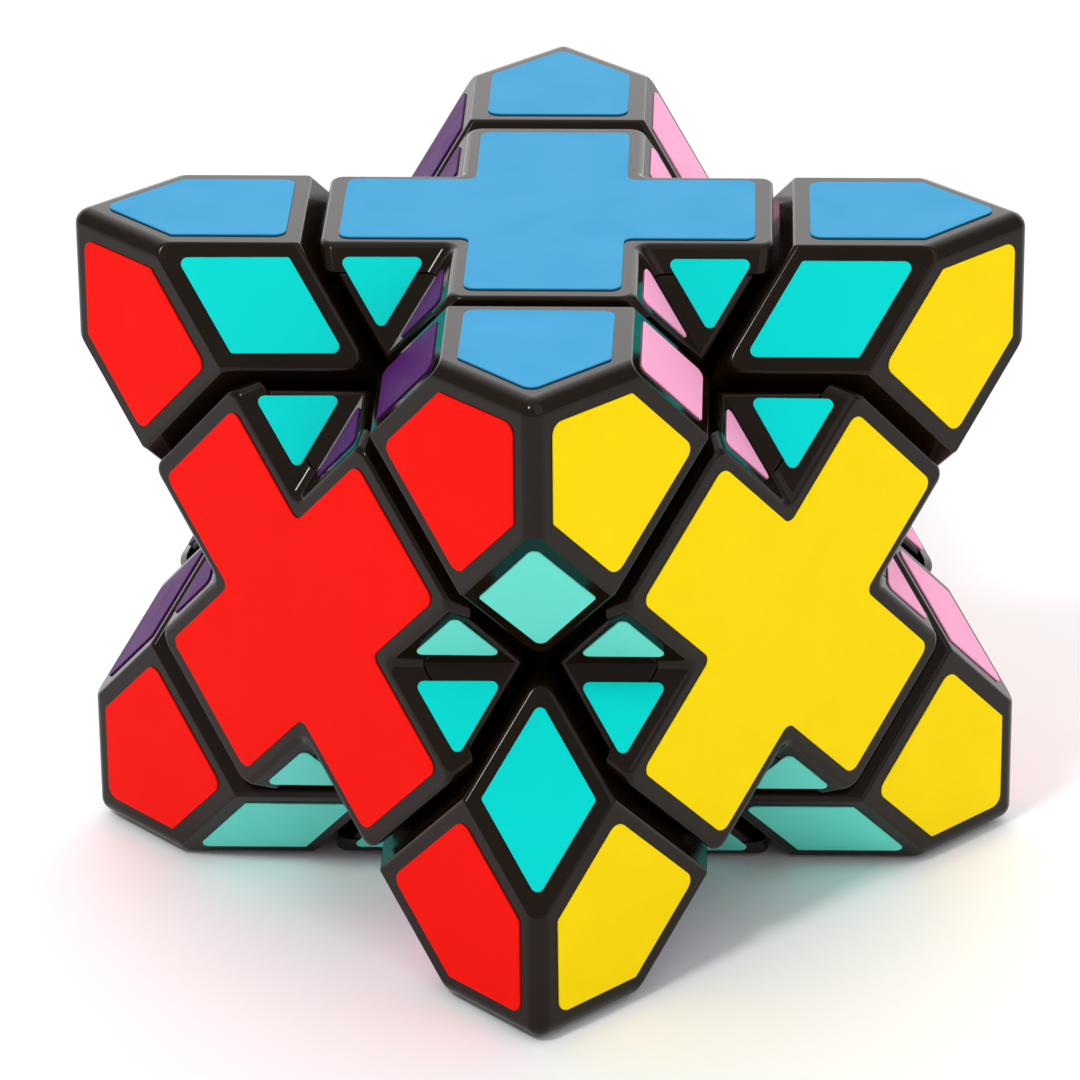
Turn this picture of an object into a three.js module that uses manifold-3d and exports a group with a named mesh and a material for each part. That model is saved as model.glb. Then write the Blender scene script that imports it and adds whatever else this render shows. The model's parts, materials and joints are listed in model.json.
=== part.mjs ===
// A star-shaped twisty puzzle: eight corner pieces and six cross-faced centre pieces, cut from one
// another by four planes through the middle. Four of the corners are held to a round core by sprung
// screws; they hold the centres in, and the centres hold the other four corners in.
// Millimetres, +Z up, origin under the middle of the bottom face.

import * as THREE from 'three';
import { mergeVertices } from 'three/addons/utils/BufferGeometryUtils.js';
import { ConvexGeometry } from 'three/addons/geometries/ConvexGeometry.js';
import Module from 'manifold-3d';

// Outer shape
const FACE_TO_FACE = 62;      // over the stickers of two opposite faces
const STICKER = 0.3;          // how far a sticker stands proud of the plastic
const GLUE = 0.02;            // under a sticker
const ARM_WIDTH = 16.2;       // across one arm of a face's cross
const SIDE_BORDER = 1.2;      // bare plastic along the sides of a cross sticker's arms
const END_BORDER = 1.7;       // and across their ends
const CORNER_GAP = 0.25;      // from a cut plane back to a corner piece
const CENTRE_GAP = 1.2;       // from a cut plane back to a centre piece
const WALL = 1.8;             // of every hollow piece
const CAP = 2.0;              // thickness of a centre's cross-shaped lid
const LID_GAP = 0.3;          // between the lid and the piece that it closes
const LID_RIM = 1.2;          // how deep the lid's locating rim goes in
const FIT_GAP = 0.3;          // between two parts glued or plugged together

// Mechanism: radii of the nested layers about the middle
const CORE_R = 10.6;
const FOOT_INNER_R = 11.3;
const FOOT_OUTER_R = 20.0;
const SHELL_INNER_R = 20.6;
const FLOOR_R = 23.0;         // top of the floor inside a centre piece
const PLUG_R = 24.0;          // how far a corner's foot reaches up into its shell
const NECK_OVERLAP = 0.3;     // how far a neck runs into what it joins
const FOOT_CONE = 84;         // degrees: half angle of the cones that cut the feet apart
const FOOT_CLEARANCE = 0.6;   // degrees either side of that cone

// Core posts, screws, springs and washers, measured from the middle along an axis
const POST_R = 2.2;
const POST_END = 12.6;
const HUB_START = 13.3;
const SCREW_R = 1.2;
const SCREW_HOLE_R = 1.5;
const SCREW_START = 5.0;
const SCREW_HOLE_START = 4.5;
const HEAD_R = 2.7;
const HEAD_START = 25.2;
const HEAD_END = 27.2;
const HEAD_CHAMFER = 0.7;
const TIP_CHAMFER = 0.4;      // across; its length is TIP_LENGTH
const TIP_LENGTH = 0.6;
const SLOT_WIDTH = 0.8;
const SLOT_LENGTH = 3.6;
const SLOT_DEPTH = 1.1;
const SPRING_WELL_R = 3.2;
const SPRING_WELL_START = 17.0;
const SPRING_START = 17.7;
const SPRING_END = 23.6;
const SPRING_R = 2.25;
const SPRING_TURNS = 4;
const SPRING_STEPS_PER_TURN = 8;
const WIRE_R = 0.35;
const WASHER_START = 24.3;
const WASHER_END = 24.9;
const WASHER_R = 2.8;
const WASHER_HOLE_R = 1.55;

// Fineness of the round surfaces
const BALL_DETAIL = 4;
const CORE_DETAIL = 2;
const CONE_SEGMENTS = 20;
const ROUND_SEGMENTS = 14;
const FAR = 60;               // beyond everything

const ROOT_2 = Math.SQRT2;
const ROOT_3 = Math.sqrt(3);
const HALF = FACE_TO_FACE / 2 - STICKER;
const STAR = HALF + ARM_WIDTH / ROOT_2;   // sum of coordinates on a star facet
const BODY_TOP = HALF - CAP - LID_GAP;
const SLANT = Math.sqrt(1.5);   // distance along a face per distance square to a facet or a cut

// Directions from the middle. A corner's name says which of the eight it is.
const AXIS_CORNERS = {
  top_back_right: [1, 1, 1],
  bottom_front_right: [1, -1, -1],
  bottom_back_left: [-1, 1, -1],
  top_front_left: [-1, -1, 1],
};
const FREE_CORNERS = {
  top_front_right: [1, -1, 1],
  top_back_left: [-1, 1, 1],
  bottom_back_right: [1, 1, -1],
  bottom_front_left: [-1, -1, -1],
};
const FACES = {
  top: [0, 0, 1],
  bottom: [0, 0, -1],
  front: [0, -1, 0],
  back: [0, 1, 0],
  right: [1, 0, 0],
  left: [-1, 0, 0],
};
const AXES = Object.values(AXIS_CORNERS);

const wasm = await Module();
wasm.setup();

// Solids and geometries

function solid(geometry) {
  const bare = geometry.clone();
  bare.deleteAttribute('normal');
  bare.deleteAttribute('uv');
  const welded = mergeVertices(bare, 1e-4);
  const mesh = new wasm.Mesh({
    numProp: 3,
    vertProperties: Float32Array.from(welded.attributes.position.array),
    triVerts: Uint32Array.from(welded.index.array),
  });
  return new wasm.Manifold(mesh);
}

function geometryOf(manifold) {
  const mesh = manifold.getMesh();
  const geometry = new THREE.BufferGeometry();
  geometry.setAttribute('position', new THREE.BufferAttribute(mesh.vertProperties, 3));
  geometry.setIndex(new THREE.BufferAttribute(mesh.triVerts, 1));
  return geometry;
}

function union(first, ...others) {
  return others.reduce((all, one) => all.add(one), first);
}

function minus(first, ...others) {
  return others.reduce((left, one) => left.subtract(one), first);
}

function common(first, ...others) {
  return others.reduce((shared, one) => shared.intersect(one), first);
}

function ball(radius, detail = BALL_DETAIL) {
  return solid(new THREE.IcosahedronGeometry(radius, detail));
}

// The turn that takes +Z to a direction.
function towards(direction) {
  const up = new THREE.Vector3(0, 0, 1);
  return new THREE.Quaternion().setFromUnitVectors(up, new THREE.Vector3(...direction).normalize());
}

// Turns a profile of [radius, height] points about +Z; heights are distances from the middle.
function turned(profile, segments = ROUND_SEGMENTS) {
  const points = profile.map(([radius, height]) => new THREE.Vector2(radius, height));
  return new THREE.LatheGeometry(points, segments).rotateX(Math.PI / 2);
}

function rod(radius, start, end) {
  return turned([[0, start], [radius, start], [radius, end], [0, end]]);
}

// A convex block from its planes, each { normal, reach } for the points with normal . p <= reach.
function block(planes) {
  const points = [];
  const inside = (p) => planes.every(({ normal, reach }) => normal.dot(p) <= reach + 1e-7);
  for (let i = 0; i < planes.length; i += 1) {
    for (let j = i + 1; j < planes.length; j += 1) {
      for (let k = j + 1; k < planes.length; k += 1) {
        const p = meeting(planes[i], planes[j], planes[k]);
        if (p && inside(p) && !points.some((q) => q.distanceTo(p) < 1e-6)) points.push(p);
      }
    }
  }
  return solid(new ConvexGeometry(points));
}

// The point on three planes, or null where two of them are parallel.
function meeting(a, b, c) {
  const across = new THREE.Vector3().crossVectors(b.normal, c.normal);
  const size = a.normal.dot(across);
  if (Math.abs(size) < 1e-9) return null;
  return across.multiplyScalar(a.reach)
    .addScaledVector(new THREE.Vector3().crossVectors(c.normal, a.normal), b.reach)
    .addScaledVector(new THREE.Vector3().crossVectors(a.normal, b.normal), c.reach)
    .divideScalar(size);
}

function plane(normal, reach) {
  return { normal: new THREE.Vector3(...normal), reach };
}

function dot(a, b) {
  return a[0] * b[0] + a[1] * b[1] + a[2] * b[2];
}

// The planes that cut a piece from its neighbours, each moved back by gap.
function cutPlanes(piece, gap) {
  return AXES.map((axis) => {
    const side = -Math.sign(dot(piece, axis));
    return plane(axis.map((x) => side * x), -gap * ROOT_3);
  });
}

// Corner pieces: three star facets and three faces of the cube, each moved in by inset.
function cornerBlock(corner, gap, inset) {
  const facets = [0, 1, 2].map((flipped) => {
    const normal = corner.map((sign, axis) => (axis === flipped ? -sign : sign));
    return plane(normal, STAR - inset * ROOT_3);
  });
  const faces = [0, 1, 2].map((axis) => {
    const normal = [0, 0, 0];
    normal[axis] = corner[axis];
    return plane(normal, HALF - inset);
  });
  return block([...cutPlanes(corner, gap), ...facets, ...faces]);
}

// Centre pieces: two bars that cross, each with sides that slope away from the face.
function centreBlock(face, gap, inset, top) {
  const axis = face.findIndex((x) => x !== 0);
  const bar = (turn) => {
    const across = [0, 0, 0];
    across[(axis + 1) % 3] = 1;
    across[(axis + 2) % 3] = turn;
    const sides = [1, -1].map((side) => plane(
      face.map((x, n) => x + side * across[n]),
      STAR - inset * ROOT_3,
    ));
    return block([...cutPlanes(face, gap), ...sides, plane(face, top)]);
  };
  return union(bar(1), bar(-1));
}

// Everything within a half angle of the direction away from an axis.
function footCone(axis, halfAngle) {
  const slope = Math.tan(THREE.MathUtils.degToRad(halfAngle));
  const profile = [[0, 0], [FAR * slope, FAR], [0, FAR]];
  const away = axis.map((x) => -x);
  return solid(turned(profile, CONE_SEGMENTS).applyQuaternion(towards(away)));
}

// Feet reach under the pieces across each cut that their own half turns past.
function trimFoot(raw, piece) {
  return AXES.reduce((foot, axis) => {
    if (dot(piece, axis) > 0) return foot.subtract(footCone(axis, FOOT_CONE + FOOT_CLEARANCE));
    return foot.intersect(footCone(axis, FOOT_CONE - FOOT_CLEARANCE));
  }, raw);
}

function along(axis, geometry) {
  return solid(geometry.applyQuaternion(towards(axis)));
}

// Pieces

function coreSolid() {
  const posts = AXES.map((axis) => along(axis, rod(POST_R, 0, POST_END)));
  const holes = AXES.map((axis) => along(axis, rod(SCREW_HOLE_R, SCREW_HOLE_START, FAR)));
  return minus(union(ball(CORE_R, CORE_DETAIL), ...posts), ...holes);
}

function screwSolid(axis) {
  const shape = solid(turned([
    [0, SCREW_START],
    [SCREW_R - TIP_CHAMFER, SCREW_START],
    [SCREW_R, SCREW_START + TIP_LENGTH],
    [SCREW_R, HEAD_START],
    [HEAD_R, HEAD_START],
    [HEAD_R, HEAD_END - HEAD_CHAMFER],
    [HEAD_R - HEAD_CHAMFER, HEAD_END],
    [0, HEAD_END],
  ]));
  const slots = [[SLOT_LENGTH, SLOT_WIDTH], [SLOT_WIDTH, SLOT_LENGTH]].map(([x, y]) => {
    const slot = new THREE.BoxGeometry(x, y, 2 * SLOT_DEPTH);
    return solid(slot.translate(0, 0, HEAD_END));
  });
  return geometryOf(minus(shape, ...slots)).applyQuaternion(towards(axis));
}

function washerGeometry(axis) {
  const ring = turned([
    [WASHER_HOLE_R, WASHER_START],
    [WASHER_R, WASHER_START],
    [WASHER_R, WASHER_END],
    [WASHER_HOLE_R, WASHER_END],
    [WASHER_HOLE_R, WASHER_START],
  ]);
  return ring.applyQuaternion(towards(axis));
}

class Helix extends THREE.Curve {
  getPoint(t) {
    const angle = t * SPRING_TURNS * 2 * Math.PI;
    const height = SPRING_START + t * (SPRING_END - SPRING_START);
    return new THREE.Vector3(SPRING_R * Math.cos(angle), SPRING_R * Math.sin(angle), height);
  }
}

function springGeometry(axis) {
  const wire = new THREE.Shape().absarc(0, 0, WIRE_R, 0, 2 * Math.PI);
  const coil = new THREE.ExtrudeGeometry(wire, {
    extrudePath: new Helix(),
    steps: SPRING_TURNS * SPRING_STEPS_PER_TURN,
    curveSegments: 3,
    bevelEnabled: false,
  });
  return coil.applyQuaternion(towards(axis));
}

// The hub of a corner that is screwed to the core: a three-sided stem and a plug for the shell.
function hubSolid(corner) {
  const stem = trimFoot(minus(ball(SHELL_INNER_R + NECK_OVERLAP), ball(HUB_START)), corner);
  const plug = minus(common(ball(PLUG_R), plugBlock(corner)), ball(SHELL_INNER_R));
  const hole = along(corner, rod(SCREW_HOLE_R, 0, FAR));
  const well = along(corner, rod(SPRING_WELL_R, SPRING_WELL_START, FAR));
  return minus(union(stem, plug), hole, well);
}

// What fits inside a corner's shell.
function plugBlock(corner) {
  return cornerBlock(corner, CORNER_GAP + WALL + FIT_GAP, WALL + FIT_GAP);
}

// The foot of a free corner, with a plug for the shell.
function footSolid(corner) {
  const foot = trimFoot(minus(ball(FOOT_OUTER_R), ball(FOOT_INNER_R, CORE_DETAIL)), corner);
  const plug = minus(common(ball(PLUG_R), plugBlock(corner)), ball(FOOT_OUTER_R - NECK_OVERLAP));
  return union(foot, plug);
}

function cornerShellSolid(corner) {
  const outside = minus(cornerBlock(corner, CORNER_GAP, 0), ball(SHELL_INNER_R));
  return minus(outside, cornerBlock(corner, CORNER_GAP + WALL, WALL));
}

function centreBaseSolid(face) {
  const foot = trimFoot(minus(ball(FOOT_OUTER_R), ball(FOOT_INNER_R, CORE_DETAIL)), face);
  const ring = minus(ball(SHELL_INNER_R + NECK_OVERLAP), ball(FOOT_OUTER_R - NECK_OVERLAP));
  const between = block([...cutPlanes(face, CENTRE_GAP), plane(face, HALF)]);
  const neck = common(trimFoot(ring, face), between);
  const outside = minus(centreBlock(face, CENTRE_GAP, 0, BODY_TOP), ball(SHELL_INNER_R));
  const well = minus(centreBlock(face, CENTRE_GAP + WALL, WALL, HALF), ball(FLOOR_R));
  return union(minus(outside, well), neck, foot);
}

// The cross-shaped lid, with a rim that drops into the base's well.
function centreCapSolid(face) {
  const lid = slice(centreBlock(face, CENTRE_GAP, 0, HALF), face, HALF - CAP);
  const inWell = WALL + FIT_GAP;
  const rimBlock = centreBlock(face, CENTRE_GAP + inWell, inWell, HALF - CAP / 2);
  return union(lid, slice(rimBlock, face, BODY_TOP - LID_RIM));
}

function crossStickerSolid(face) {
  const fromEnds = CENTRE_GAP + END_BORDER / SLANT;
  const cross = centreBlock(face, fromEnds, SIDE_BORDER / SLANT, FACE_TO_FACE / 2);
  return slice(cross, face, HALF + GLUE);
}

// What of a solid lies further out than a height over the middle, towards a face.
function slice(whole, face, height) {
  const size = 2 * FAR;
  const slab = new THREE.BoxGeometry(size, size, size).translate(0, 0, height + size / 2);
  return whole.intersect(solid(slab.applyQuaternion(towards(face))));
}

// Materials

function plastic(color, roughness) {
  return new THREE.MeshStandardMaterial({ color, roughness, metalness: 0 });
}

function metal(color, roughness) {
  return new THREE.MeshStandardMaterial({ color, roughness, metalness: 1 });
}

const blackPlastic = () => plastic(0x1b1816, 0.25);
const innerPlastic = () => plastic(0x2b2b2d, 0.5);
const corePlastic = () => plastic(0xe6e3dc, 0.45);
const steel = () => metal(0xb9bcc0, 0.35);
const springSteel = () => metal(0x8f9297, 0.3);
const STICKER_ROUGHNESS = 0.4;
const STICKER_COLOURS = {
  top: 0x2a9bd6,
  bottom: 0x1fa045,
  front: 0xf01408,
  back: 0xf07814,
  right: 0xffd400,
  left: 0xf4f4f2,
};

// Assembly

const puzzle = new THREE.Group();
puzzle.name = 'puzzle';
puzzle.position.z = FACE_TO_FACE / 2;

function place(name, geometry, material) {
  const mesh = new THREE.Mesh(geometry, material);
  mesh.name = name;
  puzzle.add(mesh);
}

place('core', geometryOf(coreSolid()), corePlastic());
for (const [where, corner] of Object.entries(AXIS_CORNERS)) {
  place(`screw_${where}`, screwSolid(corner), steel());
  place(`spring_${where}`, springGeometry(corner), springSteel());
  place(`washer_${where}`, washerGeometry(corner), steel());
  place(`hub_${where}`, geometryOf(hubSolid(corner)), innerPlastic());
  place(`corner_shell_${where}`, geometryOf(cornerShellSolid(corner)), blackPlastic());
}
for (const [where, corner] of Object.entries(FREE_CORNERS)) {
  place(`corner_foot_${where}`, geometryOf(footSolid(corner)), innerPlastic());
  place(`corner_shell_${where}`, geometryOf(cornerShellSolid(corner)), blackPlastic());
}
for (const [where, face] of Object.entries(FACES)) {
  place(`centre_base_${where}`, geometryOf(centreBaseSolid(face)), blackPlastic());
  place(`centre_cap_${where}`, geometryOf(centreCapSolid(face)), blackPlastic());
  const vinyl = plastic(STICKER_COLOURS[where], STICKER_ROUGHNESS);
  place(`cross_sticker_${where}`, geometryOf(crossStickerSolid(face)), vinyl);
}

export default puzzle;
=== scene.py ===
"""The looks of a star-shaped twisty puzzle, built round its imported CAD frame.

Shapes are worked out in millimetres about the puzzle's middle, and go into the frame in metres.
"""

import itertools
import json
import math
import random

import bmesh
import bpy
import numpy as np
from mathutils import Matrix, Vector

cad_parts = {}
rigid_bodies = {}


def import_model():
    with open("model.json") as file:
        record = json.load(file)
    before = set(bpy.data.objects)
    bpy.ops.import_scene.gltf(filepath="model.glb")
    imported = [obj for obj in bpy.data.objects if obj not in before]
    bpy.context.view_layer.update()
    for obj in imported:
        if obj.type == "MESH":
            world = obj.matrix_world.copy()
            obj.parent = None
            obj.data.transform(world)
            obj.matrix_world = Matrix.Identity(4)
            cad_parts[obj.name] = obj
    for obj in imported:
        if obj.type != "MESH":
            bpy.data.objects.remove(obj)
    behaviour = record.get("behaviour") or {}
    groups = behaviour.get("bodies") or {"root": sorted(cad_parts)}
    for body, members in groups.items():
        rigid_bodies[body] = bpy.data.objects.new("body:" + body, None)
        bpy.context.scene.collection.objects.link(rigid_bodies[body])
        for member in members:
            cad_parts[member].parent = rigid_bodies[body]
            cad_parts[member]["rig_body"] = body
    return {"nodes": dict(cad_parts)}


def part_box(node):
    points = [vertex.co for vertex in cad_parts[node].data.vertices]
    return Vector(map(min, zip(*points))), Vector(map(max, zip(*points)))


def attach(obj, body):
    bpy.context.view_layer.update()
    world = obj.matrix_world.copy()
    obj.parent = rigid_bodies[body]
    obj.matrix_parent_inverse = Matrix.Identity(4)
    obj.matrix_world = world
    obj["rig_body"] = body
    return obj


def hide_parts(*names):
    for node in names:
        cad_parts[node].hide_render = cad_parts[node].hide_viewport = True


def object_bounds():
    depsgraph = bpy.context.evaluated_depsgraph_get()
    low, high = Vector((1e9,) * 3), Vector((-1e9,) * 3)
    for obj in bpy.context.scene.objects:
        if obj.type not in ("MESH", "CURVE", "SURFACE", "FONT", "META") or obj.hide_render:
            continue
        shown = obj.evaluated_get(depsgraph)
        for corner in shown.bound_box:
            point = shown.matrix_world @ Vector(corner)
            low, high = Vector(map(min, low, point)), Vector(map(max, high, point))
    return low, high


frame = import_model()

MM = 0.001
ROOT_2, ROOT_3 = math.sqrt(2), math.sqrt(3)
cad_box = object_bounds()
MIDDLE = (cad_box[0] + cad_box[1]) / 2


def height(z):
    """A height in the frame as millimetres above the middle."""
    return (z - MIDDLE.z) / MM


# Sizes that the CAD pieces have
HALF = height(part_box("centre_cap_top")[1].z)
BASE_TOP = height(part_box("centre_base_top")[1].z)
RIM_BOTTOM = height(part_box("centre_cap_top")[0].z)
ARM_WIDTH = 16.2
STAR = HALF + ARM_WIDTH / ROOT_2  # sum of coordinates on a star facet
CORNER_GAP = 0.25  # from a cut plane back to a corner piece
CENTRE_GAP = 1.2  # from a cut plane back to a centre piece
WALL = 1.8
FIT_GAP = 0.3
FOOT_INNER_R = 11.3
FOOT_OUTER_R = 20.0
HUB_START = 13.3
SHELL_INNER_R = 20.6
FLOOR_R = 23.0
PLUG_R = 24.0
NECK_OVERLAP = 0.3
FOOT_CONE = 84  # degrees: half angle of the cones that cut the feet apart
FOOT_CLEARANCE = 0.6  # degrees either side of that cone
SCREW_HOLE_R = 1.5
SPRING_WELL_R = 3.2
SPRING_WELL_START = 17.0
FAR = 60  # beyond everything

# Core, screws, springs and washers, measured from the middle along an axis
CORE_R = 10.6
POST_R = 2.2
POST_END = 12.6
SCREW_HOLE_START = 4.5
SCREW_R = 1.2
SCREW_START = 5.0
THREAD_END = 14.0
THREAD_PITCH = 0.5
THREAD_DEPTH = 0.18
HEAD_R = 2.7
HEAD_START = 25.2
HEAD_END = 27.2
HEAD_EDGE = 0.7
SLOT_WIDTH = 0.8
SLOT_LENGTH = 3.6
SLOT_DEPTH = 1.1
SPRING_START = 17.7
SPRING_END = 23.6
SPRING_R = 2.25
SPRING_TURNS = 4
WIRE_R = 0.35
WASHER_START = 24.3
WASHER_END = 24.9
WASHER_R = 2.8
WASHER_HOLE_R = 1.55
SMALL_CHAMFER = 0.12

# Roundings
NOSE_R = 1.5
VALLEY_R = 1.5
FACET_BEVEL = 0.2
FACET_CUT_BEVEL = 0.45
SEAM_BEVEL = 0.28
ARM_EDGE_R = 0.5
LID_CORNER_R = 1.2
LID_NOTCH_R = 0.9
LID_BEVEL = 0.5
JOINT_BEVEL = 0.08
JOINT_GAP = 0.14
LID_CLEARANCE = 0.25  # from a cut plane to the foot of a lid's end wall
CUT_EDGE_BEVEL = 0.3

# Stickers
STICKER_LIFT = 0.02
STICKER_THICKNESS = 0.16
STICKER_BEVEL = 0.05
CUBE_EDGE_BORDER = 2.3  # bare plastic between a sticker and each kind of edge
SEAM_BORDER = 1.35
FACET_EDGE_BORDER = 1.55
LOZENGE_BORDER = 1.4
VALLEY_BORDER = 1.55
LID_EDGE_BORDER = 1.3
ARM_EDGE_BORDER = 0.85
CROSS_BORDER = 1.2
CROSS_END_BORDER = 1.7
BLUNT_R = 0.35  # at a sticker's blunt corners
BLUNT_COSINE = -0.3  # of the opening from which a corner is blunt
PENTAGON_R = 1.1
LOZENGE_R = 0.6
TRIANGLE_R = 0.55
CROSS_R = 1.0
CROSS_NOTCH_R = 0.9
SLIP = 0.06  # how far a sticker put on by hand lies off its place
SLIP_TURN = 0.004  # radians

# The four directions that the puzzle is cut across; a screw runs along each.
AXES = ((1, 1, 1), (1, -1, -1), (-1, 1, -1), (-1, -1, 1))
# The turns of the cube that keep those four directions
TURNS = [
    np.array([[signs[i] * (order[i] == j) for j in range(3)] for i in range(3)], float)
    for order in ((0, 1, 2), (1, 2, 0), (2, 0, 1))
    for signs in itertools.product((1, -1), repeat=3)
    if math.prod(signs) == 1
]


def direction(where):
    """The direction from the middle that a piece's place names, such as top_front_left."""
    words = where.split("_")
    return (
        ("right" in words) - ("left" in words),
        ("back" in words) - ("front" in words),
        ("top" in words) - ("bottom" in words),
    )


def turn_between(start, end):
    return next(t for t in TURNS if np.array_equal(t @ start, end))


# Meshes


def mesh_of(points, faces):
    mesh = bpy.data.meshes.new("work")
    mesh.from_pydata([tuple(map(float, p)) for p in points], [], faces)
    mesh.validate()
    return mesh


def changed(mesh, *modifiers):
    """The mesh after modifiers, each (type, settings); the given mesh is removed."""
    work = bpy.data.objects.new("work", mesh)
    bpy.context.scene.collection.objects.link(work)
    for kind, settings in modifiers:
        modifier = work.modifiers.new(kind, kind)
        for key, value in settings.items():
            setattr(modifier, key, value)
    evaluated = work.evaluated_get(bpy.context.evaluated_depsgraph_get())
    result = bpy.data.meshes.new_from_object(evaluated)
    bpy.data.objects.remove(work)
    bpy.data.meshes.remove(mesh)
    return result


def combined(first, *steps):
    """Boolean steps in order, each (operation, mesh). The other meshes are kept."""
    for operation, other in steps:
        tool = bpy.data.objects.new("tool", other)
        bpy.context.scene.collection.objects.link(tool)
        settings = {"operation": operation, "object": tool, "solver": "MANIFOLD"}
        first = changed(first, ("BOOLEAN", settings))
        bpy.data.objects.remove(tool)
    return first


def polyhedron(planes):
    """Points and faces of the convex block inside planes, each (normal, reach)."""
    points = []
    for trio in itertools.combinations(planes, 3):
        normals = np.array([n for n, _ in trio], float)
        if abs(np.linalg.det(normals)) < 1e-9:
            continue
        p = np.linalg.solve(normals, [reach for _, reach in trio])
        inside = all(np.dot(n, p) <= reach + 1e-6 for n, reach in planes)
        if inside and all(np.linalg.norm(p - q) > 1e-5 for q in points):
            points.append(p)
    faces = []
    for normal, reach in planes:
        ring = [i for i, p in enumerate(points) if abs(np.dot(normal, p) - reach) < 1e-5]
        if len(ring) > 2:
            faces.append(ordered(points, ring, normal))
    return points, faces


def ordered(points, ring, normal):
    """The ring's points in order round a normal."""
    middle = np.mean([points[i] for i in ring], axis=0)
    u = points[ring[0]] - middle
    v = np.cross(normal, u) / np.linalg.norm(normal)
    return sorted(
        ring, key=lambda i: math.atan2((points[i] - middle) @ v, (points[i] - middle) @ u)
    )


def bevelled(mesh, width_of, segments):
    """Bevels each edge by width_of(first normal, second normal), in millimetres."""
    shape = bmesh.new()
    shape.from_mesh(mesh)
    shape.normal_update()
    weight = shape.edges.layers.float.get("bevel_weight_edge")
    weight = weight or shape.edges.layers.float.new("bevel_weight_edge")
    widths = {}
    for edge in shape.edges:
        if len(edge.link_faces) == 2 and edge.calc_face_angle(0) > math.radians(25):
            width = width_of(*(np.array(f.normal) for f in edge.link_faces))
            if width:
                widths[edge] = width
    most = max(widths.values())
    for edge in shape.edges:
        edge[weight] = widths.get(edge, 0) / most
    shape.to_mesh(mesh)
    shape.free()
    settings = {
        "width": most,
        "segments": segments,
        "limit_method": "WEIGHT",
        "offset_type": "OFFSET",
        "use_clamp_overlap": False,
    }
    bevel = changed(mesh, ("BEVEL", settings))
    stored = bevel.attributes.get("bevel_weight_edge")
    if stored:
        bevel.attributes.remove(stored)
    return bevel


def ball(radius):
    shape = bmesh.new()
    bmesh.ops.create_icosphere(shape, subdivisions=5, radius=radius)
    mesh = bpy.data.meshes.new("ball")
    shape.to_mesh(mesh)
    shape.free()
    return mesh


def turned(profile, axis, segments=96):
    """A closed profile of (radius, height) points turned about a direction."""
    across = Vector(axis).to_track_quat("Z", "Y").to_matrix()
    points, faces = [], []
    rings = []
    for radius, rise in profile:
        count = segments if radius > 0 else 1
        rings.append(range(len(points), len(points) + count))
        for k in range(count):
            angle = 2 * math.pi * k / segments
            spot = (radius * math.cos(angle), radius * math.sin(angle), rise)
            points.append(across @ Vector(spot))
    for low, high in itertools.pairwise([*rings, rings[0]]):
        for k in range(segments):
            quad = [low[k % len(low)], low[(k + 1) % len(low)]]
            quad += [high[(k + 1) % len(high)], high[k % len(high)]]
            face = list(dict.fromkeys(quad))
            if len(face) > 2:
                faces.append(face)
    return mesh_of(points, faces)


def foot_cone(axis, half_angle):
    slope = math.tan(math.radians(half_angle))
    away = tuple(-x for x in axis)
    return turned([(0, 0), (FAR * slope, FAR), (0, FAR)], away)


def trimmed_foot(mesh, piece):
    """Feet reach under the pieces across each cut that their own half turns past."""
    steps = []
    for axis in AXES:
        if np.dot(piece, axis) > 0:
            steps.append(("DIFFERENCE", foot_cone(axis, FOOT_CONE + FOOT_CLEARANCE)))
        else:
            steps.append(("INTERSECT", foot_cone(axis, FOOT_CONE - FOOT_CLEARANCE)))
    return combined(mesh, *steps)


# Corner pieces


def cut_planes(piece, gap):
    sides = [(axis, -np.sign(np.dot(piece, axis))) for axis in AXES]
    return [(tuple(side * x for x in axis), -gap * ROOT_3) for axis, side in sides]


def corner_planes(corner, gap, inset):
    facets = [
        (tuple(-s if k == flipped else s for k, s in enumerate(corner)), STAR - inset * ROOT_3)
        for flipped in range(3)
    ]
    faces = [
        (tuple(s * (k == axis) for k, s in enumerate(corner)), HALF - inset) for axis in range(3)
    ]
    return [*cut_planes(corner, gap), *facets, *faces]


def kind(normal, outward):
    """What a face with this normal is, on a corner piece that points outward."""
    if max(abs(normal)) > 0.9995:
        return "face"
    lean = normal @ outward / ROOT_3
    flat = max(abs(abs(normal) - 1 / ROOT_3)) < 1e-3
    if flat:
        return "facet" if lean > 0 else "cut"
    return "outer fillet" if lean > 0 else "inner fillet"


def corner_body(corner):
    outward = np.array(corner, float)

    def large(a, b):
        kinds = {kind(a, outward), kind(b, outward)}
        if kinds == {"face"}:
            return NOSE_R
        if kinds == {"cut"}:
            return VALLEY_R * ROOT_2
        return 0

    def small(a, b):
        kinds = {kind(a, outward), kind(b, outward)}
        if kinds in ({"facet", "face"}, {"facet", "outer fillet"}):
            return FACET_BEVEL
        if kinds in ({"facet", "cut"}, {"facet", "inner fillet"}):
            return FACET_CUT_BEVEL
        if kinds == {"face", "cut"}:
            return SEAM_BEVEL
        return 0

    mesh = mesh_of(*polyhedron(corner_planes(corner, CORNER_GAP, 0)))
    mesh = bevelled(mesh, large, 8)
    mesh = bevelled(mesh, small, 3)
    hollow = mesh_of(*polyhedron(corner_planes(corner, CORNER_GAP + WALL, WALL)))
    return combined(mesh, ("DIFFERENCE", ball(SHELL_INNER_R)), ("DIFFERENCE", hollow))


def plug(corner, hole_r):
    inset = WALL + FIT_GAP
    block = mesh_of(*polyhedron(corner_planes(corner, CORNER_GAP + inset, inset)))
    return combined(ball(PLUG_R), ("INTERSECT", block), ("DIFFERENCE", ball(hole_r)))


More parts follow.
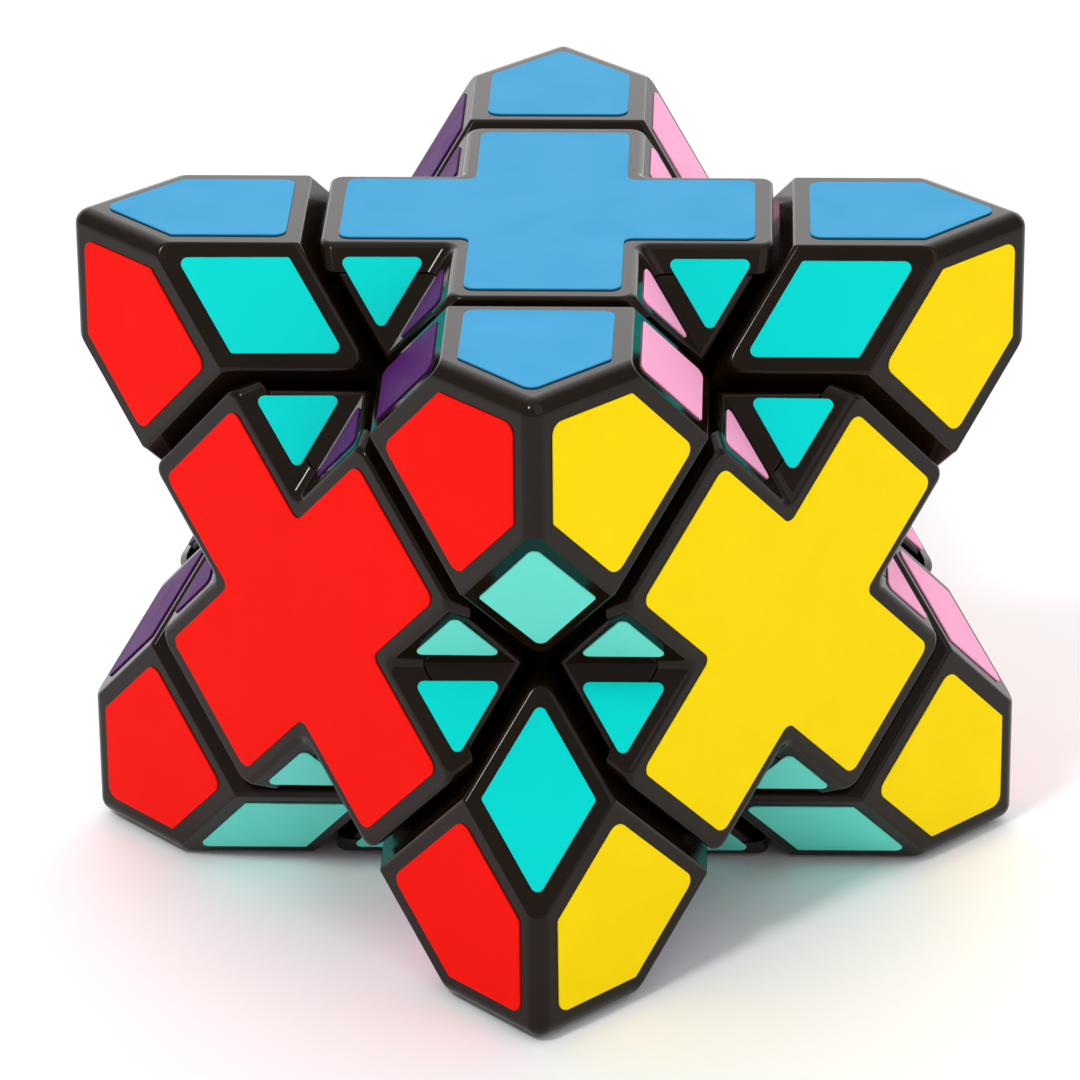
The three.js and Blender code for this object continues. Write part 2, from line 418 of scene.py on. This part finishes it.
def corner_hub(corner):
    stem = combined(ball(SHELL_INNER_R + NECK_OVERLAP), ("DIFFERENCE", ball(HUB_START)))
    stem = trimmed_foot(stem, corner)
    hole = turned([(0, 0), (SCREW_HOLE_R, 0), (SCREW_HOLE_R, FAR), (0, FAR)], corner, 48)
    start = SPRING_WELL_START
    well = turned([(0, start), (SPRING_WELL_R, start), (SPRING_WELL_R, FAR), (0, FAR)], corner, 64)
    steps = [("UNION", plug(corner, SHELL_INNER_R)), ("DIFFERENCE", hole), ("DIFFERENCE", well)]
    return combined(stem, *steps)


def corner_foot(corner):
    foot = combined(ball(FOOT_OUTER_R), ("DIFFERENCE", ball(FOOT_INNER_R)))
    foot = trimmed_foot(foot, corner)
    return combined(foot, ("UNION", plug(corner, FOOT_OUTER_R - NECK_OVERLAP)))


# Centre pieces, worked out for the top one


def quarter(point, times):
    """A point turned by quarter turns about +Z."""
    x, y, z = point
    for _ in range(times % 4):
        x, y = -y, x
    return np.array([x, y, z])


def cross_ring(star, back, z):
    """The twelve corners of a centre piece's cross at a height: each notch between its two ends."""
    notch = star - z
    out = (star - back) / 2
    side = (2 * z - back - star) / 2
    corners = [(out, -side, z), (notch, 0, z), (out, side, z)]
    return [quarter(p, k) for k in range(4) for p in corners]


def centre_block(gap, inset, top):
    star, back = STAR - inset * ROOT_3, gap * ROOT_3
    low = (star + back) / 2
    ring = cross_ring(star, back, top)
    valleys = [quarter(((star - back) / 2, 0, low), k) for k in range(4)]
    points = [*ring, *valleys, np.array([0, 0, back])]
    faces = [list(range(12))]
    for k in range(4):
        first, notch, last, valley = 3 * k, 3 * k + 1, 3 * k + 2, 12 + k
        following = (3 * k + 3) % 12
        faces.append([first, valley, notch])
        faces.append([notch, valley, last])
        faces.append([last, valley, 16, 12 + (k + 1) % 4, following])
    return points, faces


def lid_block(inset, bottom, top, low_back, high_back):
    """A slice of the cross whose arms end low_back inside the cut planes below, high_back above."""
    star = STAR - inset * ROOT_3
    points = [*cross_ring(star, low_back, bottom), *cross_ring(star, high_back, top)]
    faces = [list(range(11, -1, -1)), list(range(12, 24))]
    faces += [[k, (k + 1) % 12, 12 + (k + 1) % 12, 12 + k] for k in range(12)]
    return points, faces


def is_facet(normal):
    return max(abs(abs(normal) - 1 / ROOT_3)) < 1e-3 and normal[2] > 0


def is_cut(normal):
    return max(abs(abs(normal) - 1 / ROOT_3)) < 1e-3 and normal[2] < 0


def is_top(normal):
    return normal[2] > 0.999


def arm_edge(a, b):
    if (is_facet(a) and is_cut(b)) or (is_cut(a) and is_facet(b)):
        return ARM_EDGE_R * ROOT_2
    return 0


def centre_body():
    def small(a, b):
        if is_top(a) != is_top(b):
            return JOINT_BEVEL
        if is_cut(a) and is_cut(b):
            return CUT_EDGE_BEVEL
        return 0

    mesh = bevelled(mesh_of(*centre_block(CENTRE_GAP, 0, BASE_TOP)), arm_edge, 5)
    mesh = bevelled(mesh, small, 2)
    well = mesh_of(*centre_block(CENTRE_GAP + WALL, WALL, HALF))
    well = combined(well, ("DIFFERENCE", ball(FLOOR_R)))
    mesh = combined(mesh, ("DIFFERENCE", ball(SHELL_INNER_R)), ("DIFFERENCE", well))
    up = (0, 0, 1)
    foot = combined(ball(FOOT_OUTER_R), ("DIFFERENCE", ball(FOOT_INNER_R)))
    foot = trimmed_foot(foot, up)
    neck = combined(
        ball(SHELL_INNER_R + NECK_OVERLAP), ("DIFFERENCE", ball(FOOT_OUTER_R - NECK_OVERLAP))
    )
    neck = trimmed_foot(neck, up)
    planes = [*cut_planes(up, CENTRE_GAP), (up, HALF)]
    limits = mesh_of(*polyhedron(planes))
    neck = combined(neck, ("INTERSECT", limits))
    return combined(mesh, ("UNION", neck), ("UNION", foot))


def centre_lid():
    def outline(a, b):
        if is_top(a) != is_top(b):
            return LID_BEVEL
        if (a[2] < -0.999) != (b[2] < -0.999):
            return JOINT_BEVEL
        return 0

    def corner(a, b):
        if abs(a[2]) > 0.999 or abs(b[2]) > 0.999:
            return 0
        return LID_NOTCH_R if is_facet(a) and is_facet(b) else LID_CORNER_R

    bottom = BASE_TOP + JOINT_GAP
    low_back, high_back = LID_CLEARANCE * ROOT_3, CENTRE_GAP * ROOT_3
    mesh = mesh_of(*lid_block(0, bottom, HALF, low_back, high_back))
    mesh = bevelled(bevelled(mesh, corner, 6), outline, 4)
    inset = WALL + FIT_GAP
    back = (CENTRE_GAP + inset) * ROOT_3
    rim = mesh_of(*lid_block(inset, RIM_BOTTOM, bottom + FIT_GAP, back, back))
    return combined(mesh, ("UNION", rim))


# Core, screws, springs and washers


def core_body():
    post = [(0, 0), (POST_R, 0), (POST_R, POST_END - SMALL_CHAMFER)]
    post += [(POST_R - SMALL_CHAMFER, POST_END), (0, POST_END)]
    hole = [(0, SCREW_HOLE_START), (SCREW_HOLE_R, SCREW_HOLE_START)]
    hole += [(SCREW_HOLE_R, FAR), (0, FAR)]
    steps = [("UNION", turned(post, axis, 64)) for axis in AXES]
    steps += [("DIFFERENCE", turned(hole, axis, 48)) for axis in AXES]
    return combined(ball(CORE_R), *steps)


def screw(axis):
    profile = [(0, SCREW_START), (SCREW_R - THREAD_DEPTH, SCREW_START)]
    rise = SCREW_START
    while rise + THREAD_PITCH < THREAD_END:
        profile += [(SCREW_R, rise + THREAD_PITCH / 2)]
        rise += THREAD_PITCH
        profile += [(SCREW_R - THREAD_DEPTH, rise)]
    profile += [(SCREW_R, THREAD_END), (SCREW_R, HEAD_START), (HEAD_R - SMALL_CHAMFER, HEAD_START)]
    profile += [(HEAD_R, HEAD_START + SMALL_CHAMFER)]
    for part in range(5):
        lean = part / 4 * math.pi / 2
        across = HEAD_R - HEAD_EDGE * (1 - math.cos(lean))
        profile.append((across, HEAD_END - HEAD_EDGE * (1 - math.sin(lean))))
    profile.append((0, HEAD_END))
    steps = []
    for long, wide in ((SLOT_LENGTH, SLOT_WIDTH), (SLOT_WIDTH, SLOT_LENGTH)):
        sides = [((1, 0, 0), long / 2), ((-1, 0, 0), long / 2)]
        sides += [((0, 1, 0), wide / 2), ((0, -1, 0), wide / 2)]
        sides += [((0, 0, 1), FAR), ((0, 0, -1), SLOT_DEPTH - HEAD_END)]
        slot = mesh_of(*polyhedron(sides))
        slot.transform(Vector(axis).to_track_quat("Z", "Y").to_matrix().to_4x4())
        steps.append(("DIFFERENCE", slot))
    return combined(turned(profile, axis, 64), *steps)


def spring(axis, around=14, per_turn=40):
    across = Vector(axis).to_track_quat("Z", "Y").to_matrix()
    count = SPRING_TURNS * per_turn
    points, faces = [], []
    for n in range(count + 1):
        angle = 2 * math.pi * n / per_turn
        hub = Vector((math.cos(angle), math.sin(angle), 0))
        rise = SPRING_START + (SPRING_END - SPRING_START) * n / count
        for k in range(around):
            lean = 2 * math.pi * k / around
            spot = hub * (SPRING_R + WIRE_R * math.cos(lean))
            spot.z = rise + WIRE_R * math.sin(lean)
            points.append(across @ spot)
    for n in range(count):
        for k in range(around):
            low, high = n * around, (n + 1) * around
            following = (k + 1) % around
            faces.append([low + k, high + k, high + following, low + following])
    faces.append(list(range(around)))
    faces.append(list(range(count * around, (count + 1) * around))[::-1])
    return mesh_of(points, faces)


def washer(axis):
    inner, outer = WASHER_HOLE_R, WASHER_R
    low, high, chamfer = WASHER_START, WASHER_END, SMALL_CHAMFER
    profile = [(inner, low + chamfer), (inner + chamfer, low), (outer - chamfer, low)]
    profile += [(outer, low + chamfer), (outer, high - chamfer), (outer - chamfer, high)]
    profile += [(inner + chamfer, high), (inner, high - chamfer)]
    return turned(profile, axis)


# Stickers


def rounded(corners, borders, radii, inset, steps=5):
    """A flat outline moved in by a border on each side and rounded, then moved in by inset."""
    count = len(corners)
    edges = [corners[(k + 1) % count] - corners[k] for k in range(count)]
    edges = [e / np.linalg.norm(e) for e in edges]
    inward = [np.array([-e[1], e[0]]) for e in edges]
    outline = []
    for k in range(count):
        before, after = k - 1, k
        rows = np.array([inward[before], inward[after]])
        at = corners[k]
        reach = [borders[before] + inset, borders[after] + inset]
        meet = at + np.linalg.solve(rows, reach)
        turn = edges[before][0] * edges[after][1] - edges[before][1] * edges[after][0]
        radius = max(0.02, radii[k] - inset if turn > 0 else radii[k] + inset)
        side = radius if turn > 0 else -radius
        hub = meet + np.linalg.solve(rows, [side, side])
        start, end = hub - inward[before] * side, hub - inward[after] * side
        first = math.atan2(*(start - hub)[::-1])
        sweep = math.atan2(*(end - hub)[::-1]) - first
        sweep = (sweep + math.pi) % (2 * math.pi) - math.pi
        for n in range(steps + 1):
            angle = first + sweep * n / steps
            outline.append(hub + radius * np.array([math.cos(angle), math.sin(angle)]))
    return outline


def plate(corners, normal, borders, radii, wobble=None):
    """A sticker on a flat polygon of points in space: borders per side, radii per corner."""
    normal = np.array(normal, float) / np.linalg.norm(normal)
    middle = np.mean(corners, axis=0)
    u = corners[1] - corners[0]
    u = u - normal * (u @ normal)
    u /= np.linalg.norm(u)
    v = np.cross(normal, u)
    flat = [np.array([(p - middle) @ u, (p - middle) @ v]) for p in corners]
    top = STICKER_THICKNESS
    rings = [(0, STICKER_LIFT), (0, top - STICKER_BEVEL)]
    for part in (1, 2):
        lean = part * math.pi / 4
        rings.append(
            (STICKER_BEVEL * (1 - math.cos(lean)), top - STICKER_BEVEL * (1 - math.sin(lean)))
        )
    points, faces = [], []
    for inset, rise in rings:
        outline = rounded(flat, borders, radii, inset)
        if wobble:
            slide, turn = wobble
            spin = np.array(
                [[math.cos(turn), -math.sin(turn)], [math.sin(turn), math.cos(turn)]]
            )
            outline = [spin @ p + slide for p in outline]
        points += [middle + u * p[0] + v * p[1] + normal * rise for p in outline]
    count = len(points) // len(rings)
    faces.append(list(range(count - 1, -1, -1)))
    for level in range(len(rings) - 1):
        low, high = level * count, (level + 1) * count
        faces += [
            [low + k, low + (k + 1) % count, high + (k + 1) % count, high + k]
            for k in range(count)
        ]
    faces.append(list(range(len(points) - count, len(points))))
    return mesh_of(points, faces)


def pentagon_borders(ring):
    """The bare plastic along each side of a corner's five-sided face."""
    borders = []
    for start, end in zip(ring, [*ring[1:], ring[0]]):
        if all(sorted(abs(p))[1] > HALF - 0.01 for p in (start, end)):
            borders.append(CUBE_EDGE_BORDER)
        elif abs(np.linalg.norm(end - start) - ARM_WIDTH) < 0.3:
            borders.append(SEAM_BORDER)
        else:
            borders.append(FACET_EDGE_BORDER)
    return borders


def triangle_borders(face):
    """The same on a centre's notch, from the corners' numbers in centre_block."""
    borders = []
    for pair in zip(face, [*face[1:], face[0]]):
        if all(i < 12 for i in pair):
            borders.append(LID_EDGE_BORDER)
        elif any(i < 12 and i % 3 == 1 for i in pair):
            borders.append(VALLEY_BORDER)
        else:
            borders.append(ARM_EDGE_BORDER)
    return borders


def corner_radii(ring, radius):
    """A radius for each corner of a ring, small where the corner is blunt."""
    radii = []
    for before, at, after in zip([ring[-1], *ring[:-1]], ring, [*ring[1:], ring[0]]):
        u, v = before - at, after - at
        opening = u @ v / np.linalg.norm(u) / np.linalg.norm(v)
        radii.append(BLUNT_R if opening < BLUNT_COSINE else radius)
    return radii


# Materials


class Look:
    """A material and short ways to add nodes to it."""

    def __init__(self, name):
        self.material = bpy.data.materials.new(name)
        self.material.use_nodes = True
        self.tree = self.material.node_tree
        self.shader = self.tree.nodes["Principled BSDF"]

    def node(self, kind, inputs=None, **settings):
        node = self.tree.nodes.new(kind)
        for key, value in settings.items():
            setattr(node, key, value)
        for key, value in (inputs or {}).items():
            self.set(node, key, value)
        return node

    def set(self, node, key, value):
        if isinstance(value, bpy.types.NodeSocket):
            self.tree.links.new(value, node.inputs[key])
        else:
            node.inputs[key].default_value = value

    def maths(self, operation, a, b=0.5):
        node = self.node("ShaderNodeMath", operation=operation)
        self.set(node, 0, a)
        self.set(node, 1, b)
        return node.outputs[0]

    def noise(self, size, detail=2.0, stretch=(1, 1, 1), rough=0.5):
        """Noise whose spots are about size millimetres across."""
        where = self.node("ShaderNodeTexCoord").outputs["Object"]
        if stretch != (1, 1, 1):
            mapping = self.node("ShaderNodeMapping", {"Vector": where, "Scale": stretch})
            where = mapping.outputs[0]
        inputs = {"Vector": where, "Scale": 1 / (size * MM), "Detail": detail, "Roughness": rough}
        return self.node("ShaderNodeTexNoise", inputs).outputs["Fac"]

    def spread(self, value, low, high, start=0.3, end=0.7):
        inputs = {"Value": value, "From Min": start, "From Max": end, "To Min": low, "To Max": high}
        return self.node("ShaderNodeMapRange", inputs).outputs[0]

    def mix(self, share, first, second):
        node = self.node("ShaderNodeMix", data_type="RGBA")
        self.set(node, 0, share)
        self.set(node, 6, first)
        self.set(node, 7, second)
        return node.outputs[2]

    def edges(self, radius):
        """About 1 within radius millimetres of a sharp edge and 0 away from one."""
        soft = self.node("ShaderNodeBevel", {"Radius": radius * MM}, samples=4).outputs[0]
        true = self.node("ShaderNodeNewGeometry").outputs["Normal"]
        dot = self.node("ShaderNodeVectorMath", operation="DOT_PRODUCT")
        self.set(dot, 0, soft)
        self.set(dot, 1, true)
        return self.spread(dot.outputs["Value"], 1, 0, 0.86, 0.995)

    def bump(self, value, depth, before=None):
        """Relief from a value, depth millimetres high."""
        inputs = {"Strength": 1.0, "Distance": depth * MM, "Height": value}
        if before:
            inputs["Normal"] = before
        return self.node("ShaderNodeBump", inputs).outputs[0]

    def finish(self, **inputs):
        for key, value in inputs.items():
            self.set(self.shader, key.replace("_", " "), value)
        return self.material


def linear(red, green, blue, strength=1.0):
    """A colour given as 0 to 255 on a screen, as the shader wants it."""

    def one(level):
        level /= 255
        return level / 12.92 if level <= 0.04045 else ((level + 0.055) / 1.055) ** 2.4

    return (one(red) * strength, one(green) * strength, one(blue) * strength, 1)


def plastic_look(name, colour, worn, roughness, specular):
    look = Look(name)
    cloud = look.noise(7, 3)
    near_edge = look.edges(0.35)
    patches = look.spread(look.noise(1.3, 4), 0, 0.8, 0.45, 0.7)
    wear = look.maths("MULTIPLY", near_edge, patches)
    fine = look.noise(0.22, 2)
    peel = look.noise(1.8, 2)
    scuffs = look.noise(1.2, 3, (1, 9, 1))
    rough = look.spread(cloud, roughness - 0.03, roughness + 0.05)
    rough = look.maths("ADD", rough, look.spread(scuffs, 0, 0.07, 0.55, 0.75))
    rough = look.maths("ADD", rough, look.maths("MULTIPLY", wear, 0.15))
    shade = look.mix(look.spread(cloud, 0, 1), colour, tuple(1.25 * c for c in colour[:3]) + (1,))
    relief = look.bump(peel, 0.0022)
    relief = look.bump(fine, 0.0007, relief)
    return look.finish(
        Base_Color=look.mix(wear, shade, worn),
        Roughness=rough,
        Normal=relief,
        Specular_IOR_Level=specular,
    )


def sticker_look(name, colour):
    look = Look(name)
    cloud = look.noise(5, 3)
    grain = look.noise(0.28, 3, rough=0.6)
    specks = look.noise(0.12, 1)
    darker = tuple(0.92 * c for c in colour[:3]) + (1,)
    paler = tuple(min(1, c + 0.004) for c in colour[:3]) + (1,)
    shade = look.mix(look.spread(cloud, 0.0, 0.35), colour, darker)
    shade = look.mix(look.spread(specks, 0, 0.5, 0.5, 0.75), shade, paler)
    edge = look.edges(0.12)
    shade = look.mix(look.maths("MULTIPLY", edge, 0.25), shade, darker)
    rough = look.spread(cloud, 0.36, 0.46)
    rough = look.maths("ADD", rough, look.spread(grain, 0, 0.08))
    relief = look.bump(look.noise(2.6, 2), 0.004)
    relief = look.bump(grain, 0.003, relief)
    return look.finish(
        Base_Color=shade, Roughness=rough, Normal=relief, Specular_IOR_Level=0.04
    )


def metal_look(name, colour, roughness):
    look = Look(name)
    turned_marks = look.noise(0.25, 3, (1, 1, 6))
    cloud = look.noise(2, 3)
    shade = look.mix(look.spread(cloud, 0, 1), colour, tuple(0.8 * c for c in colour[:3]) + (1,))
    rough = look.spread(cloud, roughness - 0.05, roughness + 0.1)
    relief = look.bump(turned_marks, 0.004)
    return look.finish(Base_Color=shade, Roughness=rough, Normal=relief, Metallic=1.0)


LOOKS = {
    "black_plastic": plastic_look(
        "black_plastic", linear(21, 12, 4), linear(42, 33, 24), 0.1, 0.19
    ),
    "inner_plastic": plastic_look(
        "inner_plastic", linear(38, 38, 40), linear(80, 80, 82), 0.42, 0.4
    ),
    "core_plastic": plastic_look(
        "core_plastic", linear(226, 222, 212), linear(200, 196, 186), 0.4, 0.4
    ),
    "steel": metal_look("steel", linear(200, 201, 204), 0.28),
    "spring_steel": metal_look("spring_steel", linear(168, 170, 176), 0.25),
}
STICKER_COLOURS = {
    "blue": (48, 148, 195),
    "green": (28, 160, 70),
    "red": (244, 12, 0),
    "orange": (242, 112, 12),
    "yellow": (255, 222, 0),
    "white": (226, 227, 224),
    "teal": (0, 210, 202),
    "mint": (112, 232, 215),
    "purple": (79, 26, 96),
    "pink": (255, 169, 208),
}
for colour_name, rgb in STICKER_COLOURS.items():
    slot_name = f"sticker_{colour_name}"
    LOOKS[slot_name] = sticker_look(slot_name, linear(*rgb))

FACE_COLOURS = {
    "top": "blue",
    "bottom": "green",
    "front": "red",
    "back": "orange",
    "right": "yellow",
    "left": "white",
}
FACES = {name: direction(name) for name in FACE_COLOURS}
# Star facets that face opposite ways share a colour.
FACET_COLOURS = {
    (1, -1, 1): "teal",
    (1, -1, -1): "mint",
    (-1, -1, 1): "purple",
    (1, 1, 1): "pink",
}
FACET_COLOURS |= {tuple(-x for x in n): colour for n, colour in FACET_COLOURS.items()}

# Putting pieces in place


def put(mesh, name, node, slot, turn=None, replaces=(), smooth=40, copy=True):
    """A piece in the frame that rides with a CAD node's body."""
    mesh = mesh.copy() if copy else mesh
    mesh.name = name
    matrix = Matrix(turn.tolist()).to_4x4() if turn is not None else Matrix.Identity(4)
    mesh.transform(Matrix.Translation(MIDDLE) @ Matrix.Scale(MM, 4) @ matrix)
    mesh.polygons.foreach_set("use_smooth", [True] * len(mesh.polygons))
    mesh.set_sharp_from_angle(angle=math.radians(smooth))
    mesh.materials.clear()
    mesh.materials.append(LOOKS[slot])
    piece = bpy.data.objects.new(name, mesh)
    bpy.context.scene.collection.objects.link(piece)
    normals = piece.modifiers.new("normals", "WEIGHTED_NORMAL")
    normals.keep_sharp = True
    normals.weight = 60
    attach(piece, frame["nodes"][node]["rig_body"])
    if replaces:
        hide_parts(*replaces)
    return piece


chance = random.Random(7)


def wobble():
    """A small slip and turn, as a sticker put on by hand has."""
    return np.array([chance.gauss(0, SLIP), chance.gauss(0, SLIP)]), chance.gauss(0, SLIP_TURN)


places = {
    kind_name: sorted(n.removeprefix(prefix) for n in frame["nodes"] if n.startswith(prefix))
    for kind_name, prefix in (("hub", "hub_"), ("foot", "corner_foot_"))
}
for inner, start in (("hub", (1, 1, 1)), ("foot", (1, -1, 1))):
    body_mesh = corner_body(start)
    inner_mesh = corner_hub(start) if inner == "hub" else corner_foot(start)
    for where in places[inner]:
        turn = turn_between(start, direction(where))
        shell = f"corner_shell_{where}"
        old = f"hub_{where}" if inner == "hub" else f"corner_foot_{where}"
        put(body_mesh, f"corner_body_{where}", shell, "black_plastic", turn, [shell])
        put(inner_mesh, f"corner_{inner}_body_{where}", old, "inner_plastic", turn, [old])

lid_mesh, base_mesh = centre_lid(), centre_body()
for where in FACES:
    turn = turn_between((0, 0, 1), direction(where))
    base, cap = f"centre_base_{where}", f"centre_cap_{where}"
    put(base_mesh, f"centre_body_{where}", base, "black_plastic", turn, [base])
    put(lid_mesh, f"centre_lid_{where}", cap, "black_plastic", turn, [cap])

# Stickers on the corner pieces
for where in places["hub"] + places["foot"]:
    corner = direction(where)
    points, faces = polyhedron(corner_planes(corner, CORNER_GAP, 0))
    node = f"corner_shell_{where}"
    for face in faces:
        ring = [points[i] for i in face]
        normal = np.cross(ring[1] - ring[0], ring[2] - ring[1])
        normal /= np.linalg.norm(normal)
        what = kind(normal, np.array(corner, float))
        if what == "face":
            towards = tuple(int(round(x)) for x in normal)
            name = next(n for n, d in FACES.items() if d == towards)
            borders = pentagon_borders(ring)
            radii = corner_radii(ring, PENTAGON_R)
            mesh = plate(ring, normal, borders, radii, wobble())
            slot_name = f"sticker_{FACE_COLOURS[name]}"
            put(mesh, f"face_sticker_{where}_{name}", node, slot_name, copy=False)
        elif what == "facet":
            signs = tuple(int(np.sign(x)) for x in normal)
            radii = corner_radii(ring, LOZENGE_R)
            mesh = plate(ring, normal, [LOZENGE_BORDER] * 4, radii, wobble())
            slot_name = f"sticker_{FACET_COLOURS[signs]}"
            flipped = "xyz"[next(k for k in range(3) if signs[k] != corner[k])]
            put(mesh, f"facet_sticker_{where}_{flipped}", node, slot_name, copy=False)

# Stickers on the centre pieces
cross = cross_ring(STAR, CENTRE_GAP * ROOT_3, HALF)
cross_borders = [CROSS_BORDER, CROSS_BORDER, CROSS_END_BORDER] * 4
cross_radii = [CROSS_R, CROSS_NOTCH_R, CROSS_R] * 4
cross_plate = plate(cross, (0, 0, 1), cross_borders, cross_radii)
block_points, block_faces = centre_block(CENTRE_GAP, 0, HALF)
for where in FACES:
    turn = turn_between((0, 0, 1), direction(where))
    old = f"cross_sticker_{where}"
    slot_name = f"sticker_{FACE_COLOURS[where]}"
    put(cross_plate, f"cross_plate_{where}", old, slot_name, turn, [old])
    count = 0
    for face in block_faces:
        if len(face) != 3:
            continue
        ring = [turn @ block_points[i] for i in face]
        normal = np.cross(ring[1] - ring[0], ring[2] - ring[1])
        signs = tuple(int(np.sign(round(x, 3))) for x in normal)
        mesh = plate(ring, normal, triangle_borders(face), [TRIANGLE_R] * 3, wobble())
        count += 1
        slot_name = f"sticker_{FACET_COLOURS[signs]}"
        put(mesh, f"small_sticker_{where}_{count}", old, slot_name, copy=False)

# What is inside
put(core_body(), "core_body", "core", "core_plastic", replaces=["core"], copy=False)
for where in places["hub"]:
    axis = direction(where)
    for part, shape, slot_name in (
        ("screw", screw, "steel"),
        ("washer", washer, "steel"),
        ("spring", spring, "spring_steel"),
    ):
        node = f"{part}_{where}"
        put(shape(axis), f"{part}_body_{where}", node, slot_name, replaces=[node], copy=False)

# Floor, light and camera


def floor_look():
    look = Look("floor")
    cloud = look.noise(60, 3)
    pale = look.mix(look.spread(cloud, 0, 1), (0.92, 0.92, 0.93, 1), (0.9, 0.9, 0.91, 1))
    return look.finish(Base_Color=pale, Roughness=0.7, Specular_IOR_Level=0.2)


FLOOR_REACH = 3  # metres
floor_corners = [
    (x * FLOOR_REACH, y * FLOOR_REACH, 0) for x, y in ((-1, -1), (1, -1), (1, 1), (-1, 1))
]
floor = bpy.data.objects.new("floor", mesh_of(floor_corners, [[0, 1, 2, 3]]))
floor.location.z = cad_box[0].z
floor.data.materials.append(floor_look())
bpy.context.scene.collection.objects.link(floor)

world = bpy.data.worlds.new("studio")
world.use_nodes = True
world.node_tree.nodes["Background"].inputs["Color"].default_value = (1, 1, 1, 1)
bpy.context.scene.world = world

# A pale wall stands behind the puzzle, and the room before it is dimmer.
WALL_DIRECTION = (-0.73, 0.68, 0.1)
tree = world.node_tree
seen = tree.nodes.new("ShaderNodeTexCoord")
facing = tree.nodes.new("ShaderNodeVectorMath")
facing.operation = "DOT_PRODUCT"
facing.inputs[1].default_value = WALL_DIRECTION
tree.links.new(seen.outputs["Generated"], facing.inputs[0])
glow = tree.nodes.new("ShaderNodeMapRange")
glow.interpolation_type = "SMOOTHSTEP"
for key, value in {"From Min": 0.3, "From Max": 0.95, "To Min": 0.5, "To Max": 2.3}.items():
    glow.inputs[key].default_value = value
tree.links.new(facing.outputs["Value"], glow.inputs["Value"])
tree.links.new(glow.outputs[0], tree.nodes["Background"].inputs["Strength"])


def softbox(name, azimuth, elevation, distance, size, power):
    """A square area light aimed at the puzzle. Azimuth 0 stands in front, 90 on the right."""
    a, e = math.radians(azimuth), math.radians(elevation)
    back = Vector((math.sin(a) * math.cos(e), -math.cos(a) * math.cos(e), math.sin(e)))
    light = bpy.data.lights.new(name, "AREA")
    light.shape = "SQUARE"
    light.size = size
    light.energy = power
    lamp = bpy.data.objects.new(name, light)
    lamp.location = MIDDLE + back * distance
    lamp.rotation_euler = (-back).to_track_quat("-Z", "Y").to_euler()
    bpy.context.scene.collection.objects.link(lamp)


softbox("key", 8, 52, 0.8, 0.13, 2.4)
softbox("fill", 95, 35, 0.8, 0.8, 1.5)
softbox("overhead", 47, 88, 0.9, 0.9, 1.2)

# The view: a long lens, slightly rolled and shifted
AZIMUTH, ELEVATION, ROLL = 47.12, 25.19, -0.54
DISTANCE = 17.519 * (cad_box[1].z - cad_box[0].z) / 2
az, el, roll = (math.radians(x) for x in (AZIMUTH, ELEVATION, ROLL))
outward = Vector((math.sin(az) * math.cos(el), -math.cos(az) * math.cos(el), math.sin(el)))
level = (-outward).cross(Vector((0, 0, 1))).normalized()
upright = level.cross(-outward)
right = level * math.cos(roll) + upright * math.sin(roll)
up = upright * math.cos(roll) - level * math.sin(roll)
camera_data = bpy.data.cameras.new("camera")
camera_data.sensor_width = 36
camera_data.lens = 196.4
camera_data.shift_x = -0.0111
camera_data.shift_y = -0.0201
camera_data.clip_start = 0.01
camera_data.clip_end = 20
camera = bpy.data.objects.new("camera", camera_data)
camera.matrix_world = Matrix.Translation(MIDDLE + outward * DISTANCE) @ Matrix(
    (right, up, outward)
).transposed().to_4x4()
bpy.context.scene.collection.objects.link(camera)
bpy.context.scene.camera = camera
bpy.context.scene.view_settings.view_transform = "Standard"
